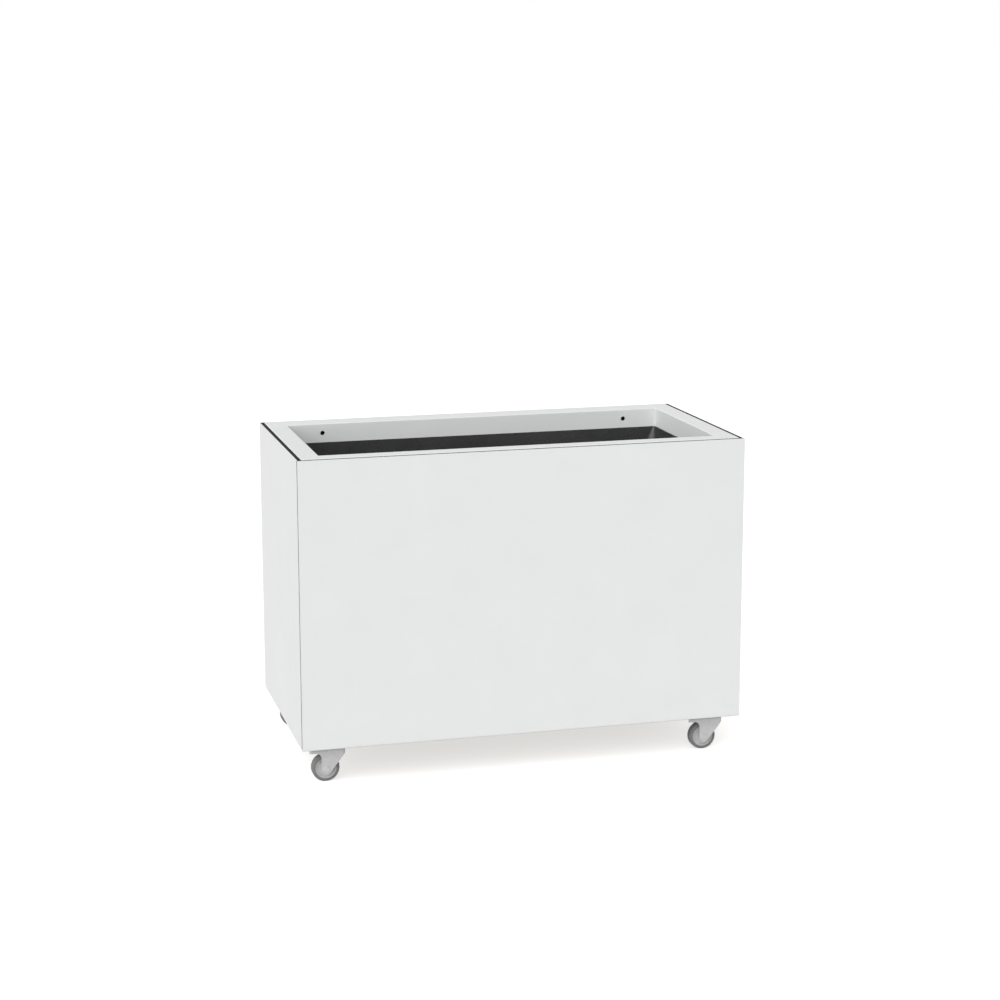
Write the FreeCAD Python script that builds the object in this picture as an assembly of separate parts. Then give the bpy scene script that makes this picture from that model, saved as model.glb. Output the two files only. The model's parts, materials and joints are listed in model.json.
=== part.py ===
import FreeCAD, Part
import math
import os

V = FreeCAD.Vector

# Wheeled planter box. Millimetres, +X along the length, +Y to the back, +Z up,
# origin on the floor under the middle of the box.

# Box
BODY_LENGTH = 800.0
BODY_DEPTH = 400.0
PANEL_HEIGHT = 509.0
RIDE_HEIGHT = 67.0

# Sheet panels of the shell
SHEET = 1.5
INSIDE_BEND = 1.0
LONG_PANEL_RETURN = 7.0
END_PANEL_LIP = 12.0
END_PANEL_FOOT = 20.0
END_PANEL_WRAP = 20.0
BACK_SEAM = 0.5
CORNER_RELIEF = 4.0

# Corner posts and base tray
POST_SIZE = 18.0
POST_WALL = 1.5
POST_CORNER = 2.0
TRAY_SHEET = 2.0
TRAY_BEND = 1.5
TRAY_FLANGE = 30.0
TRAY_SLIP = 0.5

# Rim of folded channel, with the seals in the gaps between it and the panels
SHADOW_GAP = 7.0
RIM_RISE = 1.3
RIM_BEND = 0.3
RIM_FRONT_INSET = 36.0
RIM_SIDE_INSET = 43.5
RIM_BACK_INSET = 53.0
RIM_LIP = 22.0
RIM_SKIRT = 40.0
SEAL_RECESS = 0.45
CORNER_SEAL_RECESS = 0.35
SEAL_HEIGHT = 9.0
NOTCH_CLEARANCE = 2.0

# Two holes in the back skirt for a screen or trellis
SCREEN_HOLE_INSET = 65.5
SCREEN_HOLE_DIAMETER = 8.4
SCREEN_HOLE_DROP = 17.5

# Liner tub and its stands
LINER_DROP = 34.5
LINER_HEIGHT = 360.0
LINER_WALL = 2.0
LINER_FLOOR = 2.5
LINER_TAPER = 9.0
LINER_CLEARANCE = 1.0
LINER_TOP_CORNER = 6.0
LINER_FOOT_CORNER = 60.0
LINER_BLEND = 100.0
STAND_WIDTH = 60.0
STAND_FOOT = 15.0
STAND_LENGTH = 270.0
STAND_INSET = 220.0

# Screws of the end panels
SCREW_DIAMETER = 4.0
SCREW_HOLE_CLEARANCE = 0.25
SCREW_HEAD_DIAMETER = 8.0
SCREW_HEAD_HEIGHT = 2.8
SCREW_TIP = 2.0
SCREWS_PER_POST = 3
SCREW_END_MARGIN = 70.0

# Casters
CASTER_INSET_X = 52.0
CASTER_INSET_Y = 38.0
CASTER_TRAIL = 6.0
PLATE_SIZE = 60.0
PLATE_THICKNESS = 2.5
PLATE_CORNER = 6.0
BOLT_SPACING = 40.0
BOLT_DIAMETER = 6.0
BOLT_HOLE_CLEARANCE = 0.25
BOLT_ACROSS_FLATS = 10.0
BOLT_HEAD_HEIGHT = 3.0
BOLT_TIP = 1.5
NUT_HEIGHT = 5.0
RACE_HEIGHT = 4.0
RACE_TOP_RADIUS = 17.0
RACE_FOOT_RADIUS = 11.0
RACE_LIP = 2.0
KINGPIN_DIAMETER = 10.0
KINGPIN_SINK = 2.0
KINGPIN_HEAD_DIAMETER = 18.0
KINGPIN_HEAD_HEIGHT = 2.6
KINGPIN_SLIP = 0.3
RUNNING_CLEARANCE = 0.05
SWIVEL_PLAY = 0.1
FORK_SHEET = 2.5
FORK_BEND = 2.5
CROWN_REAR = 39.0
CROWN_FRONT = 28.5
CROWN_FLANGE = 8.0
CROWN_REAR_CORNER = 10.0
CROWN_FRONT_CORNER = 6.0
LEG_END_RADIUS = 9.0
LEG_NECK_RADIUS = 9.0
AXLE_DIAMETER = 8.0
AXLE_HEAD_DIAMETER = 12.0
AXLE_HEAD_HEIGHT = 1.5
AXLE_HEAD_EDGE = 0.8

# Wheels
WHEEL_DIAMETER = 49.0
TYRE_WIDTH = 17.0
TYRE_DEPTH = 5.5
TYRE_SHOULDER = 4.0
CORE_RIM_WIDTH = 14.0
CORE_RIM_DEPTH = 3.0
CORE_WEB = 10.0
CORE_FILLET = 1.5
HUB_DIAMETER = 16.0
HUB_LENGTH = 25.0
HUB_PLAY = 0.5
BUSH_WALL = 1.5

# Places worked out from the sizes above
HALF_LENGTH = BODY_LENGTH / 2
HALF_DEPTH = BODY_DEPTH / 2
PANEL_TOP = RIDE_HEIGHT + PANEL_HEIGHT
TOP = PANEL_TOP + RIM_RISE
OUTER_BEND = INSIDE_BEND + SHEET
INNER_X = HALF_LENGTH - SHEET
INNER_Y = HALF_DEPTH - SHEET
LIP_X = INNER_X - SHADOW_GAP
LIP_Y = INNER_Y - SHADOW_GAP
SCREW_Y = LIP_Y - END_PANEL_LIP / 2
SEAL_TOP = PANEL_TOP - SEAL_RECESS
OPENING_X = HALF_LENGTH - RIM_SIDE_INSET
OPENING_FRONT = HALF_DEPTH - RIM_FRONT_INSET
OPENING_BACK = HALF_DEPTH - RIM_BACK_INSET
OPENING_HALF = (OPENING_FRONT + OPENING_BACK) / 2
OPENING_MID = (OPENING_BACK - OPENING_FRONT) / 2
RIM_LIP_FOOT = TOP - RIM_LIP
TRAY_FOOT = RIDE_HEIGHT + SHEET
TRAY_FLOOR = TRAY_FOOT + TRAY_SHEET
LINER_TOP = TOP - LINER_DROP
LINER_FOOT = LINER_TOP - LINER_HEIGHT
KINGPIN_X = HALF_LENGTH - CASTER_INSET_X
KINGPIN_Y = HALF_DEPTH - CASTER_INSET_Y
PLATE_FOOT = TRAY_FOOT - PLATE_THICKNESS
CROWN_TOP = PLATE_FOOT - RACE_HEIGHT
CROWN_FOOT = CROWN_TOP - FORK_SHEET
AXLE_Z = WHEEL_DIAMETER / 2
FORK_INNER_Y = HUB_LENGTH / 2 + HUB_PLAY
FORK_OUTER_Y = FORK_INNER_Y + FORK_SHEET

SIDES = (("left", -1), ("right", 1))
ENDS = (("front", -1), ("rear", 1))
CORNERS = [
    (end_name + "_" + side_name, side, end)
    for end_name, end in ENDS
    for side_name, side in SIDES
]

# In-plane axes and extrusion axis of each drawing plane
PLANES = {
    "XY": (V(1, 0, 0), V(0, 1, 0), V(0, 0, 1)),
    "XZ": (V(1, 0, 0), V(0, 0, 1), V(0, 1, 0)),
    "YZ": (V(0, 1, 0), V(0, 0, 1), V(1, 0, 0)),
}


def round_corner(before, corner, after, radius):
    """Start, middle and end of the arc that turns a corner."""
    back = (before - corner).normalize()
    ahead = (after - corner).normalize()
    bisector = (back + ahead).normalize()
    half_angle = back.getAngle(ahead) / 2
    reach = radius / math.tan(half_angle)
    centre = corner + bisector * (radius / math.sin(half_angle))
    return corner + back * reach, centre - bisector * radius, corner + ahead * reach


def outline_wire(plane, coords, radii, level=0.0):
    """Closed wire through the corners, each turned by its radius (0 stays sharp)."""
    along_u, along_v, along_w = PLANES[plane]
    points = [along_u * u + along_v * v + along_w * level for u, v in coords]
    count = len(points)
    turns = []
    for index, radius in enumerate(radii):
        corner = points[index]
        if radius > 0:
            turns.append(round_corner(points[index - 1], corner, points[(index + 1) % count], radius))
        else:
            turns.append((corner, None, corner))
    edges = []
    for index, (start, middle, end) in enumerate(turns):
        if middle is not None:
            edges.append(Part.Arc(start, middle, end).toShape())
        following = turns[(index + 1) % count][0]
        if end.distanceToPoint(following) > 1e-6:
            edges.append(Part.LineSegment(end, following).toShape())
    return Part.Wire(Part.__sortEdges__(edges))


def prism(plane, coords, radii, low, high):
    """Solid of a rounded outline, extruded across its plane from low to high."""
    face = Part.Face(outline_wire(plane, coords, radii, low))
    return face.extrude(PLANES[plane][2] * (high - low))


def turned(plane, coords, radii, axis):
    """Solid of a rounded outline, revolved about an axis of its plane through the origin."""
    return Part.Face(outline_wire(plane, coords, radii)).revolve(V(0, 0, 0), axis, 360)


def rectangle(half_u, half_v):
    """Corners of a rectangle about the origin."""
    return [(-half_u, -half_v), (half_u, -half_v), (half_u, half_v), (-half_u, half_v)]


def block(low_x, high_x, low_y, high_y, low_z, high_z):
    """Plain box between two corners."""
    return Part.makeBox(high_x - low_x, high_y - low_y, high_z - low_z, V(low_x, low_y, low_z))


def folded(plane, skin, thickness, inside_radius, low, high):
    """Folded sheet whose skin is a path, with the sheet to the path's left."""
    path = [V(u, v, 0) for u, v in skin]
    heads = [(after - before).normalize() for before, after in zip(path, path[1:])]
    lefts = [V(-head.y, head.x, 0) for head in heads]
    other = [path[0] + lefts[0] * thickness]
    skin_radii = [0.0]
    other_radii = [0.0]
    for index in range(1, len(path) - 1):
        before, after = lefts[index - 1], lefts[index]
        other.append(path[index] + (before + after) * (thickness / (1 + before.dot(after))))
        left_turn = heads[index - 1].cross(heads[index]).z > 0
        skin_radii.append(inside_radius + (thickness if left_turn else 0.0))
        other_radii.append(inside_radius + (0.0 if left_turn else thickness))
    other.append(path[-1] + lefts[-1] * thickness)
    skin_radii.append(0.0)
    other_radii.append(0.0)
    coords = [(point.x, point.y) for point in path + other[::-1]]
    return prism(plane, coords, skin_radii + other_radii[::-1], low, high)


def mirrored(shape, axis):
    """Copy of a shape on the other side of the middle plane across an axis."""
    return shape.mirror(V(0, 0, 0), axis)


def hexagon(across_flats, low, high):
    """Hexagonal prism about the Z axis, with flats towards the ends."""
    flat = across_flats / 2
    corner = across_flats / math.sqrt(3)
    right = [(0, -corner), (flat, -corner / 2), (flat, corner / 2)]
    coords = right + [(-x, -y) for x, y in right]
    return prism("XY", coords, [0.0] * len(coords), low, high)


def rod(radius, start, direction, length):
    """Round bar from a point along a direction."""
    return Part.makeCylinder(radius, length, start, direction)


def front_sheet(half_length):
    """Flat sheet at the front of the box with a narrow return under the tray."""
    skin = [
        (-HALF_DEPTH, PANEL_TOP),
        (-HALF_DEPTH, RIDE_HEIGHT),
        (-HALF_DEPTH + LONG_PANEL_RETURN, RIDE_HEIGHT),
    ]
    return folded("YZ", skin, SHEET, INSIDE_BEND, -half_length, half_length)


def back_panel():
    """Flat sheet at the back, between the wraps of the end panels."""
    return mirrored(front_sheet(HALF_LENGTH - END_PANEL_WRAP - BACK_SEAM), V(0, 1, 0))


def screw_places():
    """Height of each end panel screw."""
    low = RIDE_HEIGHT + SCREW_END_MARGIN
    high = RIM_LIP_FOOT - SCREW_END_MARGIN
    return [low + (high - low) * index / (SCREWS_PER_POST - 1) for index in range(SCREWS_PER_POST)]


def screw_holes():
    """Cutters for the screws of the left front post."""
    radius = SCREW_DIAMETER / 2 + SCREW_HOLE_CLEARANCE
    length = SHADOW_GAP + POST_SIZE
    return Part.Compound([
        rod(radius, V(-INNER_X, -SCREW_Y, height), V(1, 0, 0), length)
        for height in screw_places()
    ])


def left_end_panel():
    """End cassette: front return with a screw lip, face, wrap round the rear corner, and a foot."""
    skin = [
        (-HALF_LENGTH + END_PANEL_WRAP, HALF_DEPTH),
        (-HALF_LENGTH, HALF_DEPTH),
        (-HALF_LENGTH, -LIP_Y),
        (-LIP_X, -LIP_Y),
        (-LIP_X, -LIP_Y + END_PANEL_LIP),
    ]
    relief = RIDE_HEIGHT + CORNER_RELIEF
    shell = folded("XY", skin, SHEET, INSIDE_BEND, relief, PANEL_TOP)
    shell = shell.cut(block(-INNER_X, -LIP_X, -LIP_Y, 0, RIM_LIP_FOOT - NOTCH_CLEARANCE, PANEL_TOP))
    foot_skin = [
        (-HALF_LENGTH, relief),
        (-HALF_LENGTH, RIDE_HEIGHT),
        (-HALF_LENGTH + END_PANEL_FOOT, RIDE_HEIGHT),
    ]
    foot = folded("XZ", foot_skin, SHEET, INSIDE_BEND, -LIP_Y + OUTER_BEND, HALF_DEPTH - OUTER_BEND)
    wrap_low, wrap_high = -HALF_LENGTH + OUTER_BEND, -HALF_LENGTH + END_PANEL_WRAP
    wrap_foot = block(wrap_low, wrap_high, INNER_Y, HALF_DEPTH, RIDE_HEIGHT, relief)
    return shell.fuse(foot).fuse(wrap_foot).removeSplitter().cut(screw_holes())


def left_front_post():
    """Square tube in a corner, from the tray to the rim."""
    low_x, high_x = -LIP_X, -LIP_X + POST_SIZE
    low_y, high_y = -INNER_Y, -INNER_Y + POST_SIZE
    outer = [(low_x, low_y), (high_x, low_y), (high_x, high_y), (low_x, high_y)]
    inner = [
        (low_x + POST_WALL, low_y + POST_WALL),
        (high_x - POST_WALL, low_y + POST_WALL),
        (high_x - POST_WALL, high_y - POST_WALL),
        (low_x + POST_WALL, high_y - POST_WALL),
    ]
    tube = prism("XY", outer, [POST_CORNER] * len(outer), TRAY_FLOOR, RIM_LIP_FOOT)
    bore = prism("XY", inner, [POST_CORNER - POST_WALL] * len(inner), TRAY_FLOOR, RIM_LIP_FOOT)
    return tube.cut(bore)


def end_panel_screws():
    """Pan head screws through the front posts into the lips of the end panels."""
    head_x = -LIP_X + POST_SIZE
    length = POST_SIZE + SHEET + SCREW_TIP
    screws = []
    for height in screw_places():
        shank = rod(SCREW_DIAMETER / 2, V(head_x, -SCREW_Y, height), V(-1, 0, 0), length)
        head = rod(SCREW_HEAD_DIAMETER / 2, V(head_x, -SCREW_Y, height), V(1, 0, 0), SCREW_HEAD_HEIGHT)
        screws.append(shank.fuse(head))
    left = Part.Compound(screws)
    return Part.Compound([left, mirrored(left, V(1, 0, 0))])


def bolt_places():
    """Bolt positions of one caster about its kingpin."""
    return rectangle(BOLT_SPACING / 2, BOLT_SPACING / 2)


def at_casters(shape):
    """Copies of a caster piece at the four kingpins."""
    return [
        shape.translated(V(side * KINGPIN_X, end * KINGPIN_Y, 0))
        for _, side, end in CORNERS
    ]


def bolt_holes(low, high):
    """Cutters for the bolts of one caster."""
    radius = BOLT_DIAMETER / 2 + BOLT_HOLE_CLEARANCE
    return Part.Compound([rod(radius, V(x, y, low), V(0, 0, 1), high - low) for x, y in bolt_places()])


def base_tray():
    """Tray with four upturned flanges and flat corner tabs for the posts."""
    flange_top = TRAY_FOOT + TRAY_FLANGE
    long_half = LIP_X - POST_SIZE - TRAY_SLIP
    short_half = INNER_Y - POST_SIZE - TRAY_SLIP
    across = [(-INNER_Y, flange_top), (-INNER_Y, TRAY_FOOT), (INNER_Y, TRAY_FOOT), (INNER_Y, flange_top)]
    along = [(-LIP_X, flange_top), (-LIP_X, TRAY_FOOT), (LIP_X, TRAY_FOOT), (LIP_X, flange_top)]
    tray = folded("YZ", across, TRAY_SHEET, TRAY_BEND, -long_half, long_half)
    tray = tray.fuse(folded("XZ", along, TRAY_SHEET, TRAY_BEND, -short_half, short_half))
    tab = block(-LIP_X, -long_half, -INNER_Y + INSIDE_BEND, -short_half, TRAY_FOOT, TRAY_FLOOR)
    left_tabs = Part.Compound([tab, mirrored(tab, V(0, 1, 0))])
    for tabs in (left_tabs, mirrored(left_tabs, V(1, 0, 0))):
        for piece in tabs.Solids:
            tray = tray.fuse(piece)
    tray = tray.removeSplitter()
    for holes in at_casters(bolt_holes(TRAY_FOOT, TRAY_FLOOR)):
        tray = tray.cut(holes)
    return tray


def rim_channel(plane, lip, opening, reach):
    """Inverted channel with its outer lip and inner skirt on the negative side."""
    skin = [
        (-opening, TOP - RIM_SKIRT),
        (-opening, TOP),
        (-lip, TOP),
        (-lip, RIM_LIP_FOOT),
    ]
    return folded(plane, skin, SHEET, RIM_BEND, -reach, reach)


def mitred(channel, mitre):
    """Rail cut from a channel by its plan outline."""
    return channel.common(prism("XY", mitre, [0.0] * len(mitre), TOP - RIM_SKIRT, TOP))


def rim_long_rail(opening):
    """Rail along the front of the rim, with its skirt at a distance from the middle."""
    mitre = [(-LIP_X, -LIP_Y), (LIP_X, -LIP_Y), (OPENING_X, -opening), (-OPENING_X, -opening)]
    return mitred(rim_channel("YZ", LIP_Y, opening, LIP_X), mitre)


def rim_left_rail():
    """Left rail of the rim, between the narrow front rail and the wide back rail."""
    mitre = [(-LIP_X, -LIP_Y), (-OPENING_X, -OPENING_FRONT), (-OPENING_X, OPENING_BACK), (-LIP_X, LIP_Y)]
    return mitred(rim_channel("XZ", LIP_X, OPENING_X, LIP_Y), mitre)


def rim_back_rail():
    """Back rail of the rim, with the two screen holes in its skirt."""
    rail = mirrored(rim_long_rail(OPENING_BACK), V(0, 1, 0))
    for _, side in SIDES:
        place = V(side * (OPENING_X - SCREEN_HOLE_INSET), OPENING_BACK, TOP - SCREEN_HOLE_DROP)
        rail = rail.cut(rod(SCREEN_HOLE_DIAMETER / 2, place, V(0, 1, 0), SHEET))
    return rail


def shadow_gap_seal():
    """Endless rubber strip between the rim and the panels, rounded in the rear corner bends."""
    low = SEAL_TOP - SEAL_HEIGHT
    outer_radii = [0.0, 0.0, INSIDE_BEND, INSIDE_BEND]
    outer = prism("XY", rectangle(INNER_X, INNER_Y), outer_radii, low, SEAL_TOP)
    return outer.cut(block(-LIP_X, LIP_X, -LIP_Y, LIP_Y, low, SEAL_TOP))


def left_corner_seal():
    """Upright rubber strip between the front panel and the left end panel."""
    outer_x = -HALF_LENGTH + CORNER_SEAL_RECESS
    low = RIDE_HEIGHT + OUTER_BEND
    return block(outer_x, -LIP_X, -INNER_Y, -LIP_Y, low, SEAL_TOP).cut(shadow_gap_seal())


def liner_wire(height, inset):
    """Rounded rectangle of the tub at a height, inset from its outer face."""
    drop = LINER_TOP - height
    shrink = LINER_CLEARANCE + LINER_TAPER * drop / LINER_HEIGHT + inset
    blend = min(drop / LINER_BLEND, 1.0)
    corner = LINER_TOP_CORNER + (LINER_FOOT_CORNER - LINER_TOP_CORNER) * blend - inset
    outline = rectangle(OPENING_X - shrink, OPENING_HALF - shrink)
    coords = [(x, y + OPENING_MID) for x, y in outline]
    return outline_wire("XY", coords, [corner] * len(coords), height)


def tub(foot, inset):
    """Solid tub from a height to the top: straight corners below, then a blend to tight ones."""
    heights = (foot, LINER_TOP - LINER_BLEND, LINER_TOP)
    return Part.makeLoft([liner_wire(height, inset) for height in heights], True, True)


def liner():
    """Tapered tub with a square mouth and round lower corners."""
    return tub(LINER_FOOT, 0.0).cut(tub(LINER_FOOT + LINER_FLOOR, LINER_WALL))


def liner_stand():
    """Hat section under the tub, standing on the tray."""
    web = STAND_WIDTH / 2 - SHEET
    toe = STAND_WIDTH / 2 + STAND_FOOT
    head = LINER_FOOT - SHEET
    skin = [
        (-toe, TRAY_FLOOR),
        (-web, TRAY_FLOOR),
        (-web, head),
        (web, head),
        (web, TRAY_FLOOR),
        (toe, TRAY_FLOOR),
    ]
    return folded("XZ", skin, SHEET, INSIDE_BEND, -STAND_LENGTH / 2, STAND_LENGTH / 2)


def caster_plate():
    """Square top plate with four bolt holes and a countersunk kingpin hole."""
    outline = rectangle(PLATE_SIZE / 2, PLATE_SIZE / 2)
    plate = prism("XY", outline, [PLATE_CORNER] * len(outline), PLATE_FOOT, TRAY_FOOT)
    return plate.cut(bolt_holes(PLATE_FOOT, TRAY_FOOT)).cut(kingpin())


def kingpin():
    """Rivet that holds the fork to the plate, sunk flush at its upper end."""
    shank = KINGPIN_DIAMETER / 2
    head = KINGPIN_HEAD_DIAMETER / 2
    head_top = CROWN_FOOT - SWIVEL_PLAY
    coords = [
        (0, head_top - KINGPIN_HEAD_HEIGHT),
        (head, head_top - KINGPIN_HEAD_HEIGHT),
        (head, head_top),
        (shank, head_top),
        (shank, TRAY_FOOT - KINGPIN_SINK),
        (shank + KINGPIN_SINK, TRAY_FOOT),
        (0, TRAY_FOOT),
    ]
    radii = [0.0, KINGPIN_HEAD_HEIGHT / 2, 0.0, 0.0, 0.0, 0.0, 0.0]
    return turned("XZ", coords, radii, V(0, 0, 1))


def swivel_race():
    """Pressed ball cup between plate and crown."""
    bore = KINGPIN_DIAMETER / 2 + KINGPIN_SLIP
    foot = CROWN_TOP + SWIVEL_PLAY
    coords = [
        (bore, foot),
        (RACE_FOOT_RADIUS, foot),
        (RACE_TOP_RADIUS, PLATE_FOOT - RACE_LIP),
        (RACE_TOP_RADIUS, PLATE_FOOT),
        (bore, PLATE_FOOT),
    ]
    return turned("XZ", coords, [0.0, RACE_LIP, RACE_LIP / 2, 0.0, 0.0], V(0, 0, 1))


def leg_outline():
    """Side view of the fork: flanged crown, leaning front edge and round end about the axle."""
    axle_x = -CASTER_TRAIL
    flange_foot = CROWN_TOP - CROWN_FLANGE
    reach = math.hypot(CROWN_FRONT - axle_x, flange_foot - AXLE_Z)
    lean = math.atan2(flange_foot - AXLE_Z, CROWN_FRONT - axle_x) + math.asin(LEG_END_RADIUS / reach)
    foot = AXLE_Z - LEG_END_RADIUS
    toe = CROWN_FRONT - (flange_foot - foot) / math.tan(lean)
    heel = axle_x - LEG_END_RADIUS
    coords = [
        (-CROWN_REAR, CROWN_TOP),
        (-CROWN_REAR, flange_foot),
        (heel, flange_foot),
        (heel, foot),
        (toe, foot),
        (CROWN_FRONT, flange_foot),
        (CROWN_FRONT, CROWN_TOP),
    ]
    radii = [0.0, 0.0, LEG_NECK_RADIUS, LEG_END_RADIUS, LEG_END_RADIUS, 0.0, 0.0]
    return coords, radii


def fork():
    """Pressed fork: a crown folded down into two legs, bored for kingpin and axle."""
    foot = AXLE_Z - LEG_END_RADIUS
    skin = [
        (FORK_OUTER_Y, foot),
        (FORK_OUTER_Y, CROWN_TOP),
        (-FORK_OUTER_Y, CROWN_TOP),
        (-FORK_OUTER_Y, foot),
    ]
    channel = folded("YZ", skin, FORK_SHEET, FORK_BEND, -CROWN_REAR, CROWN_FRONT)
    coords, radii = leg_outline()
    side = prism("XZ", coords, radii, -FORK_OUTER_Y, FORK_OUTER_Y)
    plan = [
        (-CROWN_REAR, -FORK_OUTER_Y),
        (CROWN_FRONT, -FORK_OUTER_Y),
        (CROWN_FRONT, FORK_OUTER_Y),
        (-CROWN_REAR, FORK_OUTER_Y),
    ]
    plan_radii = [CROWN_REAR_CORNER, CROWN_FRONT_CORNER, CROWN_FRONT_CORNER, CROWN_REAR_CORNER]
    body = channel.common(side).common(prism("XY", plan, plan_radii, foot, CROWN_TOP))
    pin_radius = KINGPIN_DIAMETER / 2 + RUNNING_CLEARANCE
    body = body.cut(rod(pin_radius, V(0, 0, CROWN_FOOT), V(0, 0, 1), FORK_SHEET))
    start = V(-CASTER_TRAIL, -FORK_OUTER_Y, AXLE_Z)
    return body.cut(rod(AXLE_DIAMETER / 2, start, V(0, 1, 0), 2 * FORK_OUTER_Y))


def on_axle(shape):
    """Move a piece turned about the Y axis to the wheel's place."""
    return shape.translated(V(-CASTER_TRAIL, 0, AXLE_Z))


def axle():
    """Riveted axle with a low head outside each leg."""
    shank = AXLE_DIAMETER / 2
    head = AXLE_HEAD_DIAMETER / 2
    tip = FORK_OUTER_Y + AXLE_HEAD_HEIGHT
    coords = [
        (0, -tip),
        (head, -tip),
        (head, -FORK_OUTER_Y),
        (shank, -FORK_OUTER_Y),
        (shank, FORK_OUTER_Y),
        (head, FORK_OUTER_Y),
        (head, tip),
        (0, tip),
    ]
    radii = [0.0, AXLE_HEAD_EDGE, 0.0, 0.0, 0.0, 0.0, AXLE_HEAD_EDGE, 0.0]
    return on_axle(turned("XY", coords, radii, V(0, 1, 0)))


def tyre():
    """Soft tread with round shoulders."""
    outer = WHEEL_DIAMETER / 2
    seat = outer - TYRE_DEPTH
    half = TYRE_WIDTH / 2
    coords = [(seat, -half), (outer, -half), (outer, half), (seat, half)]
    return on_axle(turned("XY", coords, [0.0, TYRE_SHOULDER, TYRE_SHOULDER, 0.0], V(0, 1, 0)))


def wheel_core():
    """Moulded core: rim under the tyre, recessed web and long hub."""
    seat = WHEEL_DIAMETER / 2 - TYRE_DEPTH
    rim = seat - CORE_RIM_DEPTH
    hub = HUB_DIAMETER / 2
    bore = AXLE_DIAMETER / 2 + RUNNING_CLEARANCE + BUSH_WALL
    half_side = [
        (bore, HUB_LENGTH / 2),
        (hub, HUB_LENGTH / 2),
        (hub, CORE_WEB / 2),
        (rim, CORE_WEB / 2),
        (rim, CORE_RIM_WIDTH / 2),
        (seat, CORE_RIM_WIDTH / 2),
    ]
    half_radii = [0.0, CORE_FILLET / 2, CORE_FILLET, CORE_FILLET, 0.0, 0.0]
    coords = half_side + [(radius, -width) for radius, width in half_side[::-1]]
    return on_axle(turned("XY", coords, half_radii + half_radii[::-1], V(0, 1, 0)))


def wheel_bush():
    """Plain sleeve that runs on the axle."""
    bore = AXLE_DIAMETER / 2 + RUNNING_CLEARANCE
    half = HUB_LENGTH / 2
    coords = [(bore, -half), (bore + BUSH_WALL, -half), (bore + BUSH_WALL, half), (bore, half)]
    return on_axle(turned("XY", coords, [0.0] * len(coords), V(0, 1, 0)))


def caster_bolts():
    """Hexagon bolts from below, four in each caster plate."""
    tip = TRAY_FLOOR + NUT_HEIGHT + BOLT_TIP
    shank = rod(BOLT_DIAMETER / 2, V(0, 0, PLATE_FOOT), V(0, 0, 1), tip - PLATE_FOOT)
    bolt = hexagon(BOLT_ACROSS_FLATS, PLATE_FOOT - BOLT_HEAD_HEIGHT, PLATE_FOOT).fuse(shank)
    one_caster = Part.Compound([bolt.translated(V(x, y, 0)) for x, y in bolt_places()])
    return Part.Compound(at_casters(one_caster))


def caster_nuts():
    """Nuts on the tray, one on each caster bolt."""
    nut = hexagon(BOLT_ACROSS_FLATS, TRAY_FLOOR, TRAY_FLOOR + NUT_HEIGHT)
    nut = nut.cut(rod(BOLT_DIAMETER / 2, V(0, 0, TRAY_FLOOR), V(0, 0, 1), NUT_HEIGHT))
    one_caster = Part.Compound([nut.translated(V(x, y, 0)) for x, y in bolt_places()])
    return Part.Compound(at_casters(one_caster))


def shell_nodes():
    """Panels, frame, rim and seals."""
    left = left_end_panel()
    left_rail = rim_left_rail()
    left_seal = left_corner_seal()
    post = left_front_post()
    bored_post = post.cut(screw_holes())
    nodes = {
        "front_panel": front_sheet(HALF_LENGTH),
        "back_panel": back_panel(),
        "left_end_panel": left,
        "right_end_panel": mirrored(left, V(1, 0, 0)),
        "rim_front_rail": rim_long_rail(OPENING_FRONT),
        "rim_back_rail": rim_back_rail(),
        "rim_left_rail": left_rail,
        "rim_right_rail": mirrored(left_rail, V(1, 0, 0)),
        "shadow_gap_seal": shadow_gap_seal(),
        "corner_seal_left": left_seal,
        "corner_seal_right": mirrored(left_seal, V(1, 0, 0)),
        "base_tray": base_tray(),
        "end_panel_screws": end_panel_screws(),
    }
    for name, side, end in CORNERS:
        placed = mirrored(post, V(0, 1, 0)) if end > 0 else bored_post
        nodes["corner_post_" + name] = mirrored(placed, V(1, 0, 0)) if side > 0 else placed
    return nodes


def liner_nodes():
    """Tub and the two stands that carry it."""
    nodes = {"liner": liner()}
    stand = liner_stand()
    for name, side in SIDES:
        place = V(side * (HALF_LENGTH - STAND_INSET), OPENING_MID, 0)
        nodes["liner_stand_" + name] = stand.translated(place)
    return nodes


def caster_nodes():
    """Every piece of the four casters, and their shared fasteners."""
    pieces = {
        "caster_plate": caster_plate(),
        "kingpin": kingpin(),
        "swivel_race": swivel_race(),
        "fork": fork(),
        "axle": axle(),
        "tyre": tyre(),
        "wheel_core": wheel_core(),
        "wheel_bush": wheel_bush(),
    }
    nodes = {"caster_bolts": caster_bolts(), "caster_nuts": caster_nuts()}
    for piece_name, piece in pieces.items():
        for (corner_name, _, _), placed in zip(CORNERS, at_casters(piece)):
            nodes[piece_name + "_" + corner_name] = placed
    return nodes


def main():
    os.makedirs("parts", exist_ok=True)
    for group in (shell_nodes(), liner_nodes(), caster_nodes()):
        for name, shape in group.items():
            shape.exportStep(os.path.join("parts", name + ".step"))


main()
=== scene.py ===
import json
import math

import bpy
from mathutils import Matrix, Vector

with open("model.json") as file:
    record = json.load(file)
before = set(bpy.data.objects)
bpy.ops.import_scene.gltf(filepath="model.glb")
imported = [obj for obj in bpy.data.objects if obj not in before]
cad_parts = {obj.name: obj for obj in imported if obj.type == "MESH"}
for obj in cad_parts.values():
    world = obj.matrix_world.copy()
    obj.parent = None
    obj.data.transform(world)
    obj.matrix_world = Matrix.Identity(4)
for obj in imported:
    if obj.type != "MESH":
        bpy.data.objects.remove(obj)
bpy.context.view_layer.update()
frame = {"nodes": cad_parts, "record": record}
nodes = frame["nodes"]

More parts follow.
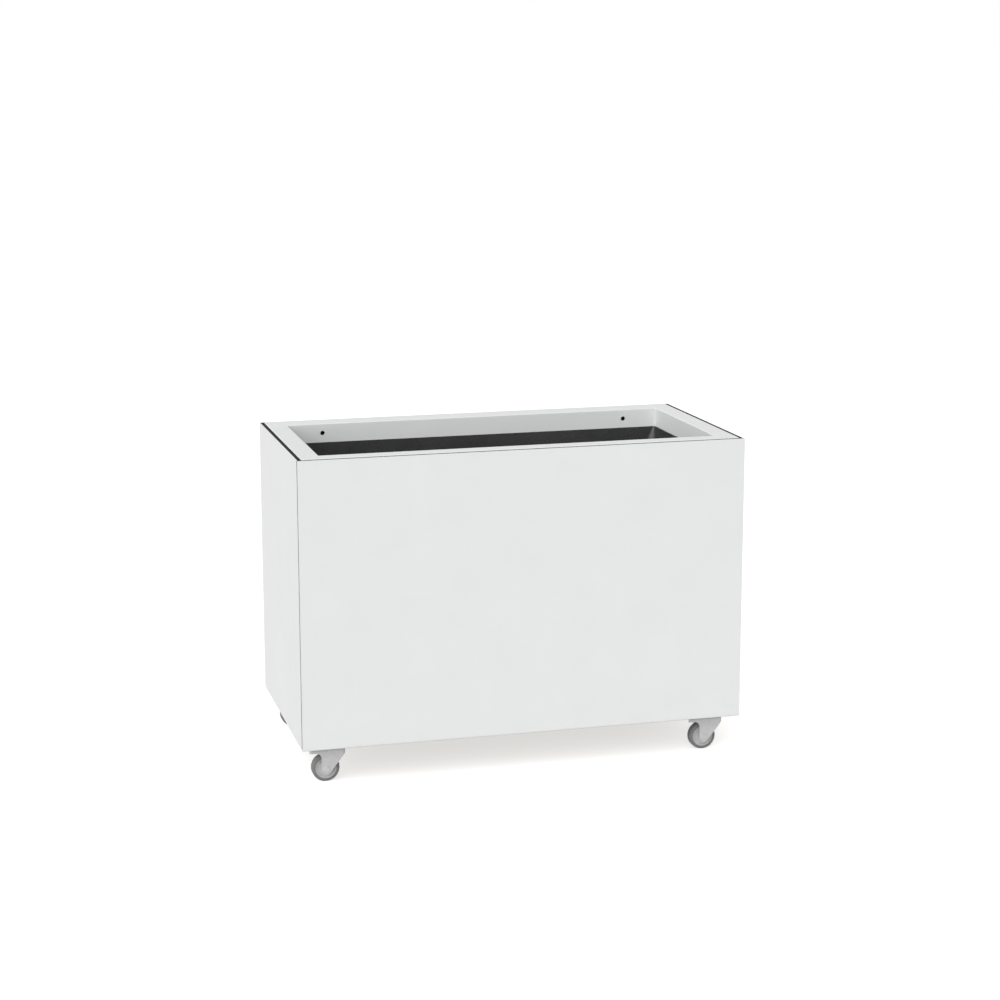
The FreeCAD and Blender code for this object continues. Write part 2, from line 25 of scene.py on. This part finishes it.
# Studio light: background strength, and one wide lamp from the front left
SKY_STRENGTH = 0.50
KEY_ENERGY = 1.986
KEY_ANGLE = 70.0
KEY_DIRECTION = (0.5885, 0.6012, -0.5411)

# Floor: its grey as it lights the part, in reflections and in the picture,
# and the glow that lifts its shadows
FLOOR_SIZE = 60.0
FLOOR_LIGHTING = 0.68
FLOOR_REFLECTED = 0.40
FLOOR_PICTURED = 0.80
FLOOR_GLOW = 0.645
FLOOR_GLOW_COLOUR = (1.0, 0.98, 0.95, 1.0)
WHITE = (1.0, 1.0, 1.0, 1.0)

# Camera, fitted to the edges of the box
SENSOR_WIDTH = 36.0
LENS = 76.855
SHIFT = (0.06, -0.03)
CAMERA_PLACE = (-1.0051, -3.6660, 1.2435)
CAMERA_TURN = (78.9790, 0.3381, -13.8651)

# Middle of a noise value, which is stretched over the range asked for
NOISE_LOW = 0.3
NOISE_HIGH = 0.7

# Per finish: two tones, a range of roughness and a relief in metres,
# each with the scale and detail of its noise
FINISHES = {
    "white_lacquer": {
        "tones": ((0.845, 0.855, 0.853), (0.862, 0.872, 0.870)),
        "tone_grain": (14.0, 3.0),
        "roughness": (0.52, 0.62),
        "rough_grain": (60.0, 3.0),
        "relief": 0.000025,
        "relief_grain": (850.0, 2.0),
        "sockets": {"Specular IOR Level": 0.35},
    },
    "black_seal": {
        "tones": ((0.021, 0.021, 0.022), (0.029, 0.029, 0.030)),
        "tone_grain": (90.0, 3.0),
        "roughness": (0.86, 0.96),
        "rough_grain": (250.0, 3.0),
        "relief": 0.00006,
        "relief_grain": (1500.0, 3.0),
        "sockets": {"Specular IOR Level": 0.12},
    },
    "black_steel": {
        "tones": ((0.026, 0.026, 0.027), (0.036, 0.036, 0.037)),
        "tone_grain": (20.0, 3.0),
        "roughness": (0.45, 0.58),
        "rough_grain": (80.0, 3.0),
        "relief": 0.00004,
        "relief_grain": (900.0, 2.0),
    },
    "black_liner": {
        "tones": ((0.048, 0.048, 0.049), (0.061, 0.061, 0.062)),
        "tone_grain": (12.0, 5.0),
        "roughness": (0.24, 0.32),
        "rough_grain": (40.0, 3.0),
        "relief": 0.00008,
        "relief_grain": (1100.0, 4.0),
    },
    "zinc_steel": {
        "tones": ((0.50, 0.51, 0.52), (0.62, 0.63, 0.64)),
        "tone_grain": (220.0, 5.0),
        "roughness": (0.28, 0.42),
        "rough_grain": (400.0, 3.0),
        "relief": 0.00002,
        "relief_grain": (1800.0, 3.0),
        "sockets": {"Metallic": 1.0},
    },
    "fork_steel": {
        "tones": ((0.56, 0.56, 0.565), (0.62, 0.62, 0.625)),
        "tone_grain": (120.0, 5.0),
        "roughness": (0.34, 0.48),
        "rough_grain": (300.0, 4.0),
        "relief": 0.00003,
        "relief_grain": (300.0, 4.0),
        "streak": (1.0, 1.0, 0.15),
        "sockets": {"Metallic": 0.2},
    },
    "grey_tyre": {
        "tones": ((0.185, 0.185, 0.190), (0.225, 0.225, 0.230)),
        "tone_grain": (150.0, 4.0),
        "roughness": (0.60, 0.75),
        "rough_grain": (500.0, 3.0),
        "relief": 0.00005,
        "relief_grain": (2200.0, 3.0),
    },
    "grey_core": {
        "tones": ((0.54, 0.54, 0.545), (0.60, 0.60, 0.605)),
        "tone_grain": (120.0, 4.0),
        "roughness": (0.42, 0.55),
        "rough_grain": (300.0, 3.0),
        "relief": 0.00004,
        "relief_grain": (1600.0, 3.0),
    },
}
EVEN = (1.0, 1.0, 1.0)


class Surface:
    """A material built from noise in the part's own coordinates."""

    def __init__(self, name):
        self.material = bpy.data.materials.new(name)
        self.material.use_nodes = True
        self.tree = self.material.node_tree
        self.bsdf = self.tree.nodes["Principled BSDF"]
        self.coords = self.tree.nodes.new("ShaderNodeTexCoord").outputs["Object"]

    def link(self, output, target):
        self.tree.links.new(output, target)

    def noise(self, grain, stretch):
        """Noise value, with features of about 1/scale metres."""
        scale, detail = grain
        mapping = self.tree.nodes.new("ShaderNodeMapping")
        mapping.inputs["Scale"].default_value = stretch
        self.link(self.coords, mapping.inputs["Vector"])
        node = self.tree.nodes.new("ShaderNodeTexNoise")
        node.inputs["Scale"].default_value = scale
        node.inputs["Detail"].default_value = detail
        self.link(mapping.outputs["Vector"], node.inputs["Vector"])
        return node.outputs["Fac"]

    def between(self, value, low, high):
        """Stretch the middle of a noise value over a range."""
        node = self.tree.nodes.new("ShaderNodeMapRange")
        node.inputs["From Min"].default_value = NOISE_LOW
        node.inputs["From Max"].default_value = NOISE_HIGH
        node.inputs["To Min"].default_value = low
        node.inputs["To Max"].default_value = high
        self.link(value, node.inputs["Value"])
        return node.outputs["Result"]

    def colour(self, value, dark, light):
        """Base colour that wanders between two tones."""
        node = self.tree.nodes.new("ShaderNodeMix")
        node.data_type = "RGBA"
        node.inputs["A"].default_value = (*dark, 1.0)
        node.inputs["B"].default_value = (*light, 1.0)
        self.link(self.between(value, 0.0, 1.0), node.inputs["Factor"])
        self.link(node.outputs["Result"], self.bsdf.inputs["Base Color"])

    def roughness(self, value, low, high):
        """Roughness that wanders over a range."""
        self.link(self.between(value, low, high), self.bsdf.inputs["Roughness"])

    def bump(self, value, height):
        """Relief of the given height in metres."""
        node = self.tree.nodes.new("ShaderNodeBump")
        node.inputs["Distance"].default_value = height
        self.link(value, node.inputs["Height"])
        self.link(node.outputs["Normal"], self.bsdf.inputs["Normal"])


def finish_material(name, look):
    """Material of one finish of the table."""
    surface = Surface(name)
    streak = look.get("streak", EVEN)
    surface.colour(surface.noise(look["tone_grain"], EVEN), *look["tones"])
    surface.roughness(surface.noise(look["rough_grain"], streak), *look["roughness"])
    surface.bump(surface.noise(look["relief_grain"], streak), look["relief"])
    for socket, value in look.get("sockets", {}).items():
        surface.bsdf.inputs[socket].default_value = value
    return surface.material


materials = {name: finish_material(name, look) for name, look in FINISHES.items()}
for subpart in frame["record"]["subparts"]:
    node = nodes[subpart["node"]]
    node.data.materials.clear()
    node.data.materials.append(materials[subpart["material_slot"]])


def mixed(tree, factor, first, second):
    """Shader that turns from the first to the second."""
    node = tree.nodes.new("ShaderNodeMixShader")
    tree.links.new(factor, node.inputs["Fac"])
    tree.links.new(first, node.inputs[1])
    tree.links.new(second, node.inputs[2])
    return node.outputs[0]


def by_ray(tree, lighting, reflected, pictured):
    """Shader that differs for rays that light the part, for reflections and for the picture."""
    path = tree.nodes.new("ShaderNodeLightPath")
    mirror = tree.nodes.new("ShaderNodeMath")
    mirror.operation = "MAXIMUM"
    tree.links.new(path.outputs["Is Glossy Ray"], mirror.inputs[0])
    tree.links.new(path.outputs["Is Transmission Ray"], mirror.inputs[1])
    unseen = mixed(tree, mirror.outputs[0], lighting, reflected)
    return mixed(tree, path.outputs["Is Camera Ray"], unseen, pictured)


def floor_material():
    """White floor whose shadows are kept light where it is seen."""
    material = bpy.data.materials.new("studio_floor")
    material.use_nodes = True
    tree = material.node_tree
    tree.nodes.clear()
    output = tree.nodes.new("ShaderNodeOutputMaterial")
    glow = tree.nodes.new("ShaderNodeEmission")
    glow.inputs["Color"].default_value = FLOOR_GLOW_COLOUR
    glow.inputs["Strength"].default_value = FLOOR_GLOW

    def matt(grey):
        node = tree.nodes.new("ShaderNodeBsdfDiffuse")
        node.inputs["Color"].default_value = (grey, grey, grey, 1.0)
        return node.outputs[0]

    def lifted(grey):
        node = tree.nodes.new("ShaderNodeAddShader")
        tree.links.new(matt(grey), node.inputs[0])
        tree.links.new(glow.outputs[0], node.inputs[1])
        return node.outputs[0]

    shader = by_ray(tree, matt(FLOOR_LIGHTING), lifted(FLOOR_REFLECTED), lifted(FLOOR_PICTURED))
    tree.links.new(shader, output.inputs["Surface"])
    return material


bpy.ops.mesh.primitive_plane_add(size=FLOOR_SIZE, location=(0.0, 0.0, 0.0))
floor = bpy.context.object
floor.name = "floor"
floor.data.materials.append(floor_material())

scene = bpy.context.scene
world = bpy.data.worlds.new("studio")
scene.world = world
world.use_nodes = True
tree = world.node_tree
sky = tree.nodes["Background"]
sky.inputs["Color"].default_value = WHITE
sky.inputs["Strength"].default_value = SKY_STRENGTH
white = tree.nodes.new("ShaderNodeBackground")
white.inputs["Color"].default_value = WHITE
shader = by_ray(tree, sky.outputs[0], white.outputs[0], white.outputs[0])
tree.links.new(shader, tree.nodes["World Output"].inputs["Surface"])

lamp_data = bpy.data.lights.new("soft_key", "SUN")
lamp_data.energy = KEY_ENERGY
lamp_data.angle = math.radians(KEY_ANGLE)
lamp = bpy.data.objects.new("soft_key", lamp_data)
lamp.rotation_euler = Vector(KEY_DIRECTION).to_track_quat("-Z", "Y").to_euler()
scene.collection.objects.link(lamp)

camera_data = bpy.data.cameras.new("camera")
camera_data.sensor_width = SENSOR_WIDTH
camera_data.lens = LENS
camera_data.shift_x, camera_data.shift_y = SHIFT
camera = bpy.data.objects.new("camera", camera_data)
camera.location = CAMERA_PLACE
camera.rotation_euler = [math.radians(angle) for angle in CAMERA_TURN]
scene.collection.objects.link(camera)
scene.camera = camera
scene.view_settings.view_transform = "Standard"
